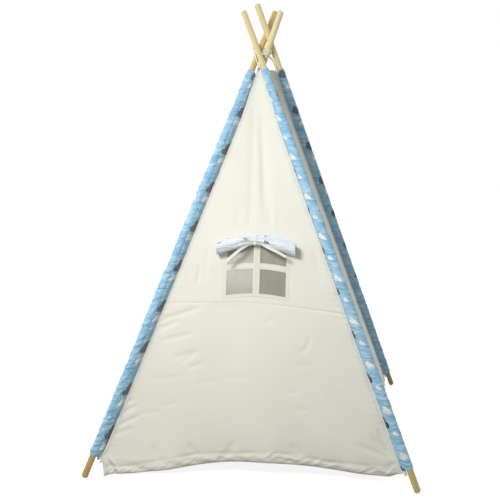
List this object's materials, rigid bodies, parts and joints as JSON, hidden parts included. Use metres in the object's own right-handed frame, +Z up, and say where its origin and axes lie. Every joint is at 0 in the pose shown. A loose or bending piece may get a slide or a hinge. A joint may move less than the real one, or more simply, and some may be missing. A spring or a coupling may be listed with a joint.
{
  "type": "play teepee",
  "caption": "Child's play teepee: crossed wooden poles, canvas walls on printed pole sleeves, a window with a rolled-up curtain and a split door with tie-back flaps.",
  "frame": {"origin": "centre of the base on the floor, midway between the pole feet", "axes": "+X right, +Y from the window wall to the rear wall, +Z up; the window wall faces -Y and the door wall faces -X"},
  "size_m": [1.1158, 1.1157, 1.6094],
  "materials": {
    "pine": "sanded, clear matt",
    "canvas": "plain woven cotton canvas",
    "sleeve_print": "printed cotton",
    "curtain": "printed cotton, pale reverse side out",
    "tape": "woven tape",
    "film": "clear flexible film",
    "cord": "twisted cotton"
  },
  "bodies": {
    "front_left_frame": {"front_left_pole": "pine", "front_left_sleeve": "sleeve_print", "front_left_corner_tab": "tape", "front_wall_lower_panel": "canvas", "front_wall_upper_panel": "canvas", "window_film": "film", "window_bar_horizontal": "tape", "window_bar_vertical": "tape", "rolled_curtain": "curtain", "curtain_tie_front": "tape", "curtain_tie_rear": "tape", "curtain_tie_knot": "tape", "curtain_tie_tail_left": "tape", "curtain_tie_tail_right": "tape", "door_yoke": "canvas", "door_panel_front": "canvas", "door_tie_front": "tape", "tie_cord_front": "cord"},
    "front_right_frame": {"front_right_pole": "pine", "front_right_sleeve": "sleeve_print", "front_right_corner_tab": "tape", "right_wall": "canvas"},
    "rear_right_frame": {"rear_right_pole": "pine", "rear_right_sleeve": "sleeve_print", "rear_right_corner_tab": "tape", "rear_wall": "canvas", "tie_cord_rear": "cord"},
    "rear_left_frame": {"rear_left_pole": "pine", "rear_left_sleeve": "sleeve_print", "rear_left_corner_tab": "tape", "door_panel_rear": "canvas", "door_tie_rear": "tape", "tie_cord_winding": "cord"},
    "front_door_flap": {"door_flap_front": "canvas"},
    "rear_door_flap": {"door_flap_rear": "canvas"}
  },
  "joints": [
    {"name": "fold_front_right", "type": "hinge", "parent": "front_left_frame", "child": "front_right_frame", "pos_m": [-0.01474, -0.01951, 1.43732], "axis": [-0.0206, 0.9379, -0.3464], "range_deg": [0, 35], "deforming": ["front_left_sleeve", "front_right_sleeve", "rear_right_sleeve", "rear_left_sleeve", "front_wall_lower_panel", "front_wall_upper_panel", "right_wall", "rear_wall", "door_yoke", "door_panel_front", "door_panel_rear", "door_flap_front", "door_flap_rear", "door_tie_front", "door_tie_rear", "window_film", "window_bar_horizontal", "window_bar_vertical", "rolled_curtain", "curtain_tie_front", "curtain_tie_rear", "curtain_tie_knot", "curtain_tie_tail_left", "curtain_tie_tail_right", "tie_cord_front", "tie_cord_winding", "tie_cord_rear"]},
    {"name": "fold_rear_right", "type": "hinge", "parent": "front_right_frame", "child": "rear_right_frame", "pos_m": [-0.0087, -0.01086, 1.50033], "axis": [-0.9359, -0.0491, -0.3489], "range_deg": [0, 33.25], "deforming": ["front_left_sleeve", "front_right_sleeve", "rear_right_sleeve", "rear_left_sleeve", "front_wall_lower_panel", "front_wall_upper_panel", "right_wall", "rear_wall", "door_yoke", "door_panel_front", "door_panel_rear", "door_flap_front", "door_flap_rear", "door_tie_front", "door_tie_rear", "window_film", "window_bar_horizontal", "window_bar_vertical", "rolled_curtain", "curtain_tie_front", "curtain_tie_rear", "curtain_tie_knot", "curtain_tie_tail_left", "curtain_tie_tail_right", "tie_cord_front", "tie_cord_winding", "tie_cord_rear"]},
    {"name": "fold_rear_left", "type": "hinge", "parent": "rear_right_frame", "child": "rear_left_frame", "pos_m": [0.02836, -0.01141, 1.46949], "axis": [-0.0286, -0.9339, -0.3563], "range_deg": [0, 35], "deforming": ["front_left_sleeve", "front_right_sleeve", "rear_right_sleeve", "rear_left_sleeve", "front_wall_lower_panel", "front_wall_upper_panel", "right_wall", "rear_wall", "door_yoke", "door_panel_front", "door_panel_rear", "door_flap_front", "door_flap_rear", "door_tie_front", "door_tie_rear", "window_film", "window_bar_horizontal", "window_bar_vertical", "rolled_curtain", "curtain_tie_front", "curtain_tie_rear", "curtain_tie_knot", "curtain_tie_tail_left", "curtain_tie_tail_right", "tie_cord_front", "tie_cord_winding", "tie_cord_rear"]},
    {"name": "door_flap_front_swing", "type": "hinge", "parent": "front_left_frame", "child": "front_door_flap", "pos_m": [-0.50977, -0.43691, 0.03422], "axis": [0.3332, 0.3753, 0.8649], "range_deg": [0, 120]},
    {"name": "door_flap_rear_swing", "type": "hinge", "parent": "rear_left_frame", "child": "rear_door_flap", "pos_m": [-0.50887, 0.43608, 0.03422], "axis": [-0.3306, 0.3883, -0.8602], "range_deg": [0, 120]}
  ],
  "couplings": [
    {"joint": "fold_rear_right", "follows": "fold_front_right", "ratio": 0.95},
    {"joint": "fold_rear_left", "follows": "fold_front_right", "ratio": 1}
  ]
}
